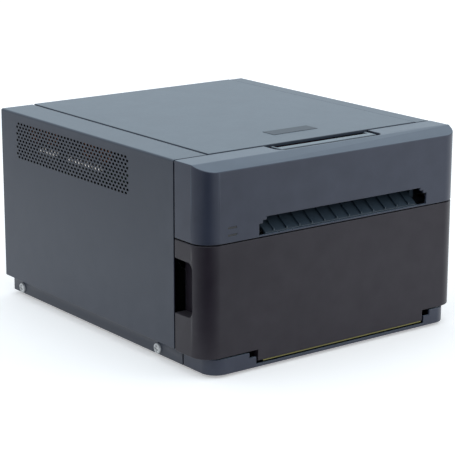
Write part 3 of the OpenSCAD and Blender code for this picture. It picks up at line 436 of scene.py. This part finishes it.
FINISHES["zinc_steel"] = metal_finish("zinc_plated_sheet", (0.56, 0.58, 0.60), 0.38, (1, 0.08, 1))
FINISHES["bright_steel"] = metal_finish("bright_plated_steel", (0.72, 0.72, 0.72), 0.22, (1, 1, 1))
FINISHES["sink_aluminium"] = metal_finish("extruded_aluminium", (0.66, 0.67, 0.68), 0.35, (0.06, 1, 1))
FINISHES["brass_bush"] = metal_finish("sintered_bronze", (0.55, 0.38, 0.16), 0.35)
for part in frame["record"]["subparts"]:
    node = nodes[part["node"]]
    node.data.materials.clear()
    node.data.materials.append(FINISHES[part["material_slot"]])
print(len(nodes), "nodes finished")

# %% [markdown]
# Moulded and folded parts have small rounded edges, and the light that runs along them says how the part
# was made. The CAD solids have sharp edges, so each outer part gets a copy: its loose triangles are merged,
# flat faces are joined again, the outward edges are marked, and a Bevel modifier rounds only those. The new
# narrow faces also carry an edge_band value, which the finishes read to rub the edges a little.
# %% Rounded copies of the outer parts
def merged_mesh(node_name, zones=(), pierced=None):
    """The node's triangles joined into a closed mesh with whole flat faces, its zones marked.
    Faces that look along the pierced axis keep their triangles, because they are full of holes."""
    shape = bmesh.new()
    shape.from_mesh(nodes[node_name].data)
    bmesh.ops.remove_doubles(shape, verts=shape.verts, dist=0.000002)
    for face in shape.faces:
        middle = face.calc_center_median()
        face.material_index = next((i + 1 for i, zone in enumerate(zones) if zone[1](middle)), 0)
    wanted = [edge for edge in shape.edges
              if pierced is None or not any(abs(face.normal[pierced]) > 0.99 for face in edge.link_faces)]
    bmesh.ops.dissolve_limit(shape, angle_limit=math.radians(0.6), edges=wanted, delimit={"MATERIAL"},
                             verts=shape.verts if pierced is None else [])
    return shape


def mark_edges(shape, weight_at, least):
    """Gives outward edges sharper than least degrees the bevel weight that weight_at names."""
    layer = shape.edges.layers.float.get("bevel_weight_edge")
    layer = layer or shape.edges.layers.float.new("bevel_weight_edge")
    count = 0
    for edge in shape.edges:
        if len(edge.link_faces) != 2 or edge.calc_face_angle_signed() < math.radians(least):
            continue
        weight = float(weight_at((edge.verts[0].co + edge.verts[1].co) / 2, edge))
        edge[layer] = weight
        count += weight > 0
    return count


def plain_result(draft, name):
    """The modifiers' result as a new plain object, and the draft is removed."""
    result = bpy.data.meshes.new_from_object(draft.evaluated_get(bpy.context.evaluated_depsgraph_get()))
    result.name = name
    bpy.data.objects.remove(draft)
    piece = bpy.data.objects.new(name, result)
    scene.collection.objects.link(piece)
    return piece


def smooth_faces(mesh, angle=40):
    mesh.shade_smooth()
    mesh.set_sharp_from_angle(angle=math.radians(angle))


BODY_OF = {name: body for body, names in frame["record"]["behaviour"]["bodies"].items() for name in names}
SLOT_OF = {part["node"]: part["material_slot"] for part in frame["record"]["subparts"]}


def stand_for(piece, node_name, slot=None):
    """Lets a piece ride with its node's body, replace the node and take its finish."""
    slot = slot or SLOT_OF[node_name]
    if not piece.data.materials:
        piece.data.materials.append(FINISHES[slot])
    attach(piece, BODY_OF[node_name])
    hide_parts(node_name)
    return piece


def band_layer(mesh, band_index):
    """Turns the faces that the bevel made into an edge_band value, then gives them the first material."""
    band = mesh.attributes.new("edge_band", "FLOAT", "POINT")
    values = [0.0] * len(mesh.vertices)
    for face in mesh.polygons:
        if face.material_index == band_index:
            for index in face.vertices:
                values[index] = 1.0
            face.material_index = 0
    band.data.foreach_set("value", values)


def rounded_copy(node_name, width=0.0, weight_at=lambda middle, edge: 1, segments=2, least=32, zones=(),
                 pierced=None):
    """A copy with rounded outward edges, and a second finish on the faces that a zone's test picks."""
    shape = merged_mesh(node_name, zones, pierced)
    count = mark_edges(shape, weight_at, least) if width else 0
    draft_mesh = bpy.data.meshes.new("draft")
    shape.to_mesh(draft_mesh)
    shape.free()
    for slot in [SLOT_OF[node_name]] + [zone[0] for zone in zones] + ["rubber_black"]:
        draft_mesh.materials.append(FINISHES[slot])
    draft = bpy.data.objects.new("draft", draft_mesh)
    scene.collection.objects.link(draft)
    if width:
        bevel = draft.modifiers.new("round", "BEVEL")
        bevel.limit_method, bevel.width, bevel.segments = "WEIGHT", width, segments
        bevel.use_clamp_overlap, bevel.material = False, len(zones) + 1
    piece = plain_result(draft, node_name + "_dressed")
    band_layer(piece.data, len(zones) + 1)
    piece.data.materials.pop(index=len(zones) + 1)
    smooth_faces(piece.data)
    piece.modifiers.new("flat faces", "WEIGHTED_NORMAL").keep_sharp = True
    print(node_name, "edges rounded:", count)
    return stand_for(piece, node_name)


HALF, FRONT, TOP = cad_high[0], cad_low[1], 0.1745


def outside(middle, edge):
    """Full weight on the case's outer skin, less where a lip is thin, none on the facets of a hole."""
    out = abs(middle[0]) > HALF - 0.0105 or middle[1] < FRONT + 0.012 or middle[2] > TOP - 0.006
    if not out or edge.calc_length() < 0.0016:
        return 0
    lip = 0.1095 < middle[2] < 0.1135 and middle[1] < FRONT + 0.004 and abs(middle[0] - 0.0085) < 0.0915
    return 0.35 if lip else 1


def hole_wall_painted_shade(middle):
    """True inside the thickness of the left cover's sheet, where only the walls of the vent holes are. Those
    walls are given black as painted shade, so the holes read dark.
    """
    in_sheet = -HALF + 0.0002 < middle[0] < -HALF + 0.0011
    return in_sheet and -0.06 < middle[1] < 0.14 and 0.13 < middle[2] < 0.17


rounded_copy("front_bezel", 0.0007, outside)
rounded_copy("drawer_front", 0.0007, outside)
rounded_copy("front_base_cover", 0.0006, outside)
# The vent holes' walls take black, painted shade in the holes
rounded_copy("left_side_cover", 0.0004, outside, pierced=0, zones=[("black_plastic", hole_wall_painted_shade)])
rounded_copy("right_side_cover", 0.0004, outside)
rounded_copy("lid_panel", 0.0005,
             lambda middle, edge: middle[2] > TOP - 0.003 and edge.calc_length() > 0.002)
rounded_copy("lid_lever", 0.0009, lambda middle, edge: edge.calc_length() > 0.002)
rounded_copy("output_ramp", 0.0003, lambda middle, edge: edge.calc_length() > 0.001)
rounded_copy("rubber_feet", 0.0008, segments=3)
rounded_copy("rear_panel", 0.0003, lambda middle, edge: middle[1] > cad_high[1] - 0.0012
             and edge.calc_length() > 0.009, pierced=1)

# %% [markdown]
# Rollers, spools, boards and sockets are one solid in the CAD but two or three materials in life: rubber on
# a steel shaft, film on a plastic core, plated pins in black plastic. Instead of cutting them apart, each
# face of a copy is asked where its middle lies, by its distance from the roller's axis or by plain
# coordinates, and takes the second or third finish where the answer says so.
# %% Two finishes on one solid
def off_axis(middle, y, z):
    """Distance of a face's middle from an axis along X, in millimetres."""
    return math.hypot(middle[1] * 1000 - y, middle[2] * 1000 - z)


def shaft_zone(y, z, reach):
    return [("bright_steel", lambda middle: off_axis(middle, y, z) < reach)]


def spool_zones(y, z):
    """Film between the flanges and outside the core, steel on the shaft."""
    def film(middle):
        return off_axis(middle, y, z) > 7.2 and abs(middle[0] * 1000 - 8.5) < 76.3
    return [("dye_ribbon", film)] + shaft_zone(y, z, 3.2)


# Axes are given in millimetres. The other limits lie between faces of the CAD solids, in metres
rounded_copy("platen_roller", zones=shaft_zone(-20, 118, 3.3))
rounded_copy("pinch_roller", zones=shaft_zone(-70, 136.5, 3.3))
rounded_copy("capstan_roller", zones=[("gear_nylon", lambda middle: middle[0] > 0.1190)])
rounded_copy("supply_spool", zones=spool_zones(38, 142))
rounded_copy("takeup_spool", zones=spool_zones(-44, 148))
rounded_copy("feed_motor", zones=[("zinc_steel", lambda middle: middle[0] > 0.1128)])
rounded_copy("ribbon_motor", zones=[("bright_steel", lambda middle: middle[0] > 0.1151)])
rounded_copy("main_board", zones=[("black_plastic", lambda middle: middle[2] > 0.0138),
                                  ("zinc_steel", lambda middle: middle[2] < 0.0118)])
rounded_copy("power_supply_board", zones=[("zinc_steel", lambda middle: middle[0] > -0.1052)])
rounded_copy("mains_inlet", zones=[("bright_steel", lambda middle: abs(middle[0] + 0.108) < 0.0072
                                    and 0.1371 < middle[1] < 0.1495 and 0.028 < middle[2] < 0.038)])
rounded_copy("power_supply_coils", zones=[("black_plastic", lambda middle: middle[2] < 0.130),
                                          ("tray_plastic", lambda middle: middle[0] > -0.1204)])
rounded_copy("thermal_head", zones=[
    ("plug_white", lambda middle: middle[2] < 0.1344 and middle[1] > -0.0262),
    ("sink_aluminium", lambda middle: middle[2] < 0.1344)])
rounded_copy("usb_port", zones=[("plug_white", lambda middle: abs(middle[0] + 0.0595) < 0.0026
                                 and 0.0252 < middle[2] < 0.0276 and middle[1] < 0.1495),
                                ("black_plastic", lambda middle: middle[2] < 0.0208)])
rounded_copy("cutter_carriage", zones=[
    ("bright_steel", lambda middle: middle[2] < 0.1376 and abs(middle[0] + 0.077) < 0.0062
     and abs(middle[1] + 0.1) < 0.0014)])
rounded_copy("lid_hinge_brackets", zones=[
    ("panel_slate", lambda middle: middle[2] > 0.1625
     and (middle[1] < 0.1409 or abs(middle[2] - 0.1634) < 0.0008))])

# %% [markdown]
# What repeats is made by Geometry Nodes. Each tree is built in this script with named inputs, is run once on
# a throwaway object, and its result is kept as a plain mesh.
# %% A small workshop for node trees
def new_tree(name, inputs):
    tree = bpy.data.node_groups.new(name, "GeometryNodeTree")
    tree.interface.new_socket("Geometry", in_out="INPUT", socket_type="NodeSocketGeometry")
    for label, kind in inputs:
        tree.interface.new_socket(label, in_out="INPUT", socket_type="NodeSocket" + kind)
    tree.interface.new_socket("Geometry", in_out="OUTPUT", socket_type="NodeSocketGeometry")
    return tree, tree.nodes.new("NodeGroupInput"), tree.nodes.new("NodeGroupOutput")


def add(tree, kind, links=(), **values):
    """A node whose inputs are linked (name, socket) or set, and whose other properties are set."""
    node = tree.nodes.new(kind)
    for label, value in values.items():
        if label in node.bl_rna.properties:
            setattr(node, label, value)
        else:
            node.inputs[label.replace("_", " ")].default_value = value
    for label, socket in links:
        tree.links.new(socket, node.inputs[label])
    return node


def close_tree(tree, outlet, geometry, material):
    realized = add(tree, "GeometryNodeRealizeInstances", [("Geometry", geometry)])
    finished = add(tree, "GeometryNodeSetMaterial", [
        ("Geometry", realized.outputs[0]), ("Material", material)])
    smooth = add(tree, "GeometryNodeSetShadeSmooth", [("Geometry", finished.outputs[0])])
    tree.links.new(smooth.outputs[0], outlet.inputs[0])


def run_tree(tree, values, mesh=None):
    """The tree's result as a plain mesh. Inputs are set by their sockets' identifiers."""
    host = bpy.data.objects.new("host", mesh or bpy.data.meshes.new("host"))
    scene.collection.objects.link(host)
    modifier = host.modifiers.new("tree", "NODES")
    modifier.node_group = tree
    for item in tree.interface.items_tree:
        if item.in_out == "INPUT" and item.name in values:
            modifier[item.identifier] = values[item.name]
    host.update_tag()
    result = bpy.data.meshes.new_from_object(host.evaluated_get(bpy.context.evaluated_depsgraph_get()))
    bpy.data.objects.remove(host)
    return result


def join_meshes(name, meshes):
    """One object from several meshes that share a finish."""
    joined = bmesh.new()
    for mesh in meshes:
        joined.from_mesh(mesh)
    out = bpy.data.meshes.new(name)
    joined.to_mesh(out)
    joined.free()
    for material in meshes[0].materials:
        out.materials.append(material)
    piece = bpy.data.objects.new(name, out)
    scene.collection.objects.link(piece)
    return piece


def add_piece(piece, body):
    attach(piece, body)
    print(piece.name, len(piece.data.polygons), "faces")
    return piece


# %% [markdown]
# Copper wire is wound round the power supply's ring cores, because it glints through the vent holes. A loop
# of wire is set at even stops along each ring.
# %% Copper windings
def winding_tree():
    tree, inlet, outlet = new_tree("ring_winding", [
        ("Ring Radius", "Float"), ("Loop Radius", "Float"), ("Wire Radius", "Float"), ("Turns", "Int"),
        ("Place", "Vector"), ("Finish", "Material")])
    take = inlet.outputs
    ring = add(tree, "GeometryNodeCurvePrimitiveCircle", [("Radius", take["Ring Radius"])], Resolution=64)
    stops = add(tree, "GeometryNodeCurveToPoints", [
        ("Curve", ring.outputs[0]), ("Count", take["Turns"])], mode="COUNT")
    loop = add(tree, "GeometryNodeCurvePrimitiveCircle", [("Radius", take["Loop Radius"])], Resolution=16)
    wire = add(tree, "GeometryNodeCurvePrimitiveCircle", [("Radius", take["Wire Radius"])], Resolution=5)
    turn = add(tree, "GeometryNodeCurveToMesh", [
        ("Curve", loop.outputs[0]), ("Profile Curve", wire.outputs[0])])
    turns = add(tree, "GeometryNodeInstanceOnPoints", [
        ("Points", stops.outputs["Points"]), ("Instance", turn.outputs[0]),
        ("Rotation", stops.outputs["Rotation"])])
    placed = add(tree, "GeometryNodeTransform", [
        ("Geometry", turns.outputs[0]), ("Translation", take["Place"])], Rotation=(0, math.radians(90), 0))
    close_tree(tree, outlet, placed.outputs[0], take["Finish"])
    return tree


# Each core: y, z and ring radius, in millimetres
CORES = ((110, 160, 8), (84, 159.5, 7), (24, 159.5, 7), (-2, 158.5, 6))
winding = winding_tree()
turns = [run_tree(winding, {
    "Ring Radius": r / 1000, "Loop Radius": 0.0048, "Wire Radius": 0.00045, "Turns": int(r * 5),
    "Place": (-0.125, y / 1000, z / 1000), "Finish": FINISHES["copper_coil"]}) for y, z, r in CORES]
add_piece(join_meshes("core_windings", turns), "chassis")


# %% [markdown]
# Two coil springs press the print head down. In the CAD each is a plain sleeve, and here a spiral takes its
# place, between the same heights.
# %% Print head springs
def spring_tree():
    tree, inlet, outlet = new_tree("coil_spring", [
        ("Radius", "Float"), ("Height", "Float"), ("Turns", "Float"), ("Wire Radius", "Float"),
        ("Place", "Vector"), ("Finish", "Material")])
    take = inlet.outputs
    coil = add(tree, "GeometryNodeCurveSpiral", [
        ("Rotations", take["Turns"]), ("Start Radius", take["Radius"]), ("End Radius", take["Radius"]),
        ("Height", take["Height"])], Resolution=24)
    wire = add(tree, "GeometryNodeCurvePrimitiveCircle", [("Radius", take["Wire Radius"])], Resolution=8)
    body = add(tree, "GeometryNodeCurveToMesh", [
        ("Curve", coil.outputs[0]), ("Profile Curve", wire.outputs[0])])
    body.inputs["Fill Caps"].default_value = True
    placed = add(tree, "GeometryNodeTransform", [
        ("Geometry", body.outputs[0]), ("Translation", take["Place"])])
    close_tree(tree, outlet, placed.outputs[0], take["Finish"])
    return tree


spring_low, spring_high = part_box("head_springs")[0][2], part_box("head_springs")[1][2]
springs = [run_tree(spring_tree(), {
    "Radius": 0.0036, "Height": spring_high - spring_low - 0.0008, "Turns": 6.5, "Wire Radius": 0.0004,
    "Place": (0.0085 + side * 0.05, -0.013, spring_low + 0.0004), "Finish": FINISHES["bright_steel"]})
    for side in (-1, 1)]
stand_for(join_meshes("coil_springs", springs), "head_springs")


# %% [markdown]
# Chips and resistors fill the circuit boards. A fixed seed picks some points of a grid and gives each block
# its own size.
# %% Small parts on the boards
def board_tree():
    tree, inlet, outlet = new_tree("board_parts", [
        ("Length", "Float"), ("Width", "Float"), ("Rows", "Int"), ("Columns", "Int"), ("Share", "Float"),
        ("Seed", "Int"), ("Part Size", "Vector"), ("Place", "Vector"), ("Turn", "Vector"),
        ("Finish", "Material")])
    take = inlet.outputs
    grid = add(tree, "GeometryNodeMeshGrid", [
        ("Size X", take["Length"]), ("Size Y", take["Width"]),
        ("Vertices X", take["Columns"]), ("Vertices Y", take["Rows"])])
    pick = add(tree, "FunctionNodeRandomValue", [
        ("Probability", take["Share"]), ("Seed", take["Seed"])], data_type="BOOLEAN")
    size = add(tree, "FunctionNodeRandomValue", [("Seed", take["Seed"])], data_type="FLOAT_VECTOR")
    size.inputs["Min"].default_value, size.inputs["Max"].default_value = (0.6, 0.6, 0.5), (1.5, 1.3, 1.4)
    block = add(tree, "GeometryNodeMeshCube", [("Size", take["Part Size"])])
    parts = add(tree, "GeometryNodeInstanceOnPoints", [
        ("Points", grid.outputs[0]), ("Instance", block.outputs[0]), ("Selection", pick.outputs[3]),
        ("Scale", size.outputs[0])])
    placed = add(tree, "GeometryNodeTransform", [
        ("Geometry", parts.outputs[0]), ("Translation", take["Place"]), ("Rotation", take["Turn"])])
    close_tree(tree, outlet, placed.outputs[0], take["Finish"])
    return tree


def board_parts(name, slot, seed, share, part, length, width, rows, columns, place, turn):
    mesh = run_tree(boards, {
        "Length": length, "Width": width, "Rows": rows, "Columns": columns, "Share": share, "Seed": seed,
        "Part Size": part, "Place": place, "Turn": turn, "Finish": FINISHES[slot]})
    mesh.shade_flat()
    return add_piece(join_meshes(name, [mesh]), "chassis")


boards = board_tree()
UPRIGHT = (0, math.radians(-90), 0)
board_parts("supply_chips", "black_plastic", 3, 0.30, (0.003, 0.005, 0.003), 0.036, 0.165, 6, 22,
            (-0.1078, 0.033, 0.113), UPRIGHT)
board_parts("supply_resistors", "paper_white", 8, 0.22, (0.0012, 0.004, 0.0014), 0.034, 0.160, 7, 26,
            (-0.1076, 0.033, 0.148), UPRIGHT)
board_parts("main_board_parts", "black_plastic", 5, 0.25, (0.004, 0.003, 0.0016), 0.130, 0.110, 14, 18,
            (-0.015, 0.083, 0.0141), (0, 0, 0))


# %% [markdown]
# Screws. The cover screws show in the picture: bright pan heads whose cross recess is painted black as shade.
# Flush heads hold the rear panel and the fan. A head is a turned profile, so it is spun in mesh code, and its
# cross is pressed in by moving the vertices near the middle. A node tree then sets a copy at each point of a
# small point mesh, turned to face the way it is told.
# %% Screw heads
def screw_head(radius, height, fall):
    """A spun head whose axis is +Z, with its rim lower by fall, a share of the height. A cross is pressed in,
    and its faces carry the second material, black painted on as the shade of a deep recess."""
    head = bmesh.new()
    rings, steps = 14, 48
    rows, pressed = [], set()
    for k in range(rings):
        t = k / (rings - 1)
        r = radius * max(t, 0.02)
        z = height * (1 - fall * t ** 3)
        row = []
        for i in range(steps):
            a = 2 * math.pi * i / steps
            x, y = r * math.cos(a), r * math.sin(a)
            arm = min(abs(x), abs(y)) < radius * 0.21 and max(abs(x), abs(y)) < radius * 0.62
            row.append(head.verts.new((x, y, z - (height * 0.6 if arm else 0))))
            if arm:
                pressed.add(row[-1])
        rows.append(row)
    rows.append([head.verts.new((v.co.x, v.co.y, 0)) for v in rows[-1]])
    for inner, outer in zip(rows, rows[1:]):
        for i in range(steps):
            j = (i + 1) % steps
            head.faces.new((inner[i], outer[i], outer[j], inner[j]))
    head.faces.new(rows[0])
    head.faces.new(list(reversed(rows[-1])))
    bmesh.ops.recalc_face_normals(head, faces=head.faces)
    for face in head.faces:
        face.material_index = int(sum(v in pressed for v in face.verts) > 1)
    mesh = bpy.data.meshes.new("screw_head")
    head.to_mesh(mesh)
    head.free()
    return bpy.data.objects.new("screw_head", mesh)


def screw_tree():
    tree, inlet, outlet = new_tree("set_screws", [("Head", "Object"), ("Finish", "Material")])
    take = inlet.outputs
    facing = add(tree, "GeometryNodeInputNamedAttribute", data_type="FLOAT_VECTOR")
    facing.inputs["Name"].default_value = "facing"
    turned = add(tree, "FunctionNodeAlignRotationToVector", [
        ("Vector", facing.outputs["Attribute"])], axis="Z")
    head = add(tree, "GeometryNodeObjectInfo", [("Object", take["Head"])])
    screws = add(tree, "GeometryNodeInstanceOnPoints", [
        ("Points", take["Geometry"]), ("Instance", head.outputs["Geometry"]),
        ("Rotation", turned.outputs[0])])
    close_tree(tree, outlet, screws.outputs[0], take["Finish"])
    return tree


def copies_at(places, pattern, material):
    """One mesh with a copy of the pattern at each place, turned the way that place says."""
    points = bpy.data.meshes.new("points")
    points.from_pydata([place for place, _ in places], [], [])
    facing = points.attributes.new("facing", "FLOAT_VECTOR", "POINT")
    facing.data.foreach_set("vector", [v for _, way in places for v in way])
    scene.collection.objects.link(pattern)
    mesh = run_tree(screws_tree, {"Head": pattern, "Finish": material}, points)
    bpy.data.objects.remove(pattern)
    return mesh


def set_screws(name, places, radius, height, fall):
    head = screw_head(radius, height, fall)
    recess_painted_shade = [face.material_index for face in head.data.polygons]
    mesh = copies_at(places, head, FINISHES["bright_steel"])
    smooth_faces(mesh, 30)
    # The recess faces take black, painted shade in the cross
    mesh.materials.append(FINISHES["motor_black"])
    # The copies' faces follow one another in the head's own order
    for face in mesh.polygons:
        face.material_index = recess_painted_shade[face.index % len(recess_painted_shade)]
    return join_meshes(name, [mesh])


screws_tree = screw_tree()
side_x = HALF - 0.0083
cover_places = [((way * side_x, y, 0.0075), (way, 0, 0)) for way in (-1, 1) for y in (-0.080, 0.139)]
stand_for(set_screws("cover_screw_heads", cover_places, 0.0044, 0.0023, 0.45), "cover_screws")
fan_x, fan_z, fan_screw = 0.062, 0.100, 0.0305
flush_height = 0.0012
rear_spots = [(-0.121, 0.156), (0.121, 0.156), (0.121, 0.026), (-0.080, 0.026)]
rear_spots += [(fan_x + a * fan_screw, fan_z + b * fan_screw) for a in (-1, 1) for b in (-1, 1)]
rear_places = [((x, cad_high[1] - flush_height, z), (0, 1, 0)) for x, z in rear_spots]
rear_heads = set_screws("rear_screw_heads", rear_places, 0.0030, flush_height, 0.12)
stand_for(rear_heads, "cover_screws")

# %% [markdown]
# White wire housings end right behind the vent, where they show as pale dots. Each stands on a dark stem
# that reaches the power supply's board. The screws' tree sets both, first a short block at each place and
# then a long one. The white plastic glows a little by emission, painted light that lets it show in the dim
# space behind the vent.
# %% Wire housings
ROW_HEIGHT = 0.1468
HOUSING_ROW = [(y / 1000, ROW_HEIGHT)
               for y in (88.9, 77.9, 72.4, 67.9, 43.2, 32.9, 27.2, 17.0, 11.6, 1.3, -3.8)]


def square_block(length, width, height):
    """A block whose length runs along Z, because the tree turns Z towards the vent."""
    block = bmesh.new()
    bmesh.ops.create_cube(block, size=1, matrix=Matrix.Diagonal((height, width, length, 1)))
    mesh = bpy.data.meshes.new("square_block")
    block.to_mesh(mesh)
    block.free()
    return bpy.data.objects.new("square_block", mesh)


def set_blocks(name, front, back, width, height, material):
    """A block from front to back, measured along X, at each place of the row."""
    places = [(((front + back) / 2, y, z), (-1, 0, 0)) for y, z in HOUSING_ROW]
    mesh = copies_at(places, square_block(back - front, width, height), material)
    mesh.shade_flat()
    return add_piece(join_meshes(name, [mesh]), "chassis")


housing_glow_finish = finish("housing_painted_glow", (0.82, 0.81, 0.78), 0.4, 0.0006, 0.003, 0.5, 0.00002)
housing_glow_shader = housing_glow_finish.node_tree.nodes["Principled BSDF"]
# Emission is painted light: the housings glow though nothing lights them from inside
housing_glow_shader.inputs["Emission Color"].default_value = (1, 0.98, 0.94, 1)
housing_glow_shader.inputs["Emission Strength"].default_value = 0.45
housing_front, housing_back = -HALF + 0.0013, -HALF + 0.0053
board_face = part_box("power_supply_board")[0][0]
set_blocks("wire_housings", housing_front, housing_back, 0.0030, 0.0024, housing_glow_finish)
set_blocks("housing_stems", housing_back - 0.0003, board_face, 0.0014, 0.0012, FINISHES["black_plastic"])
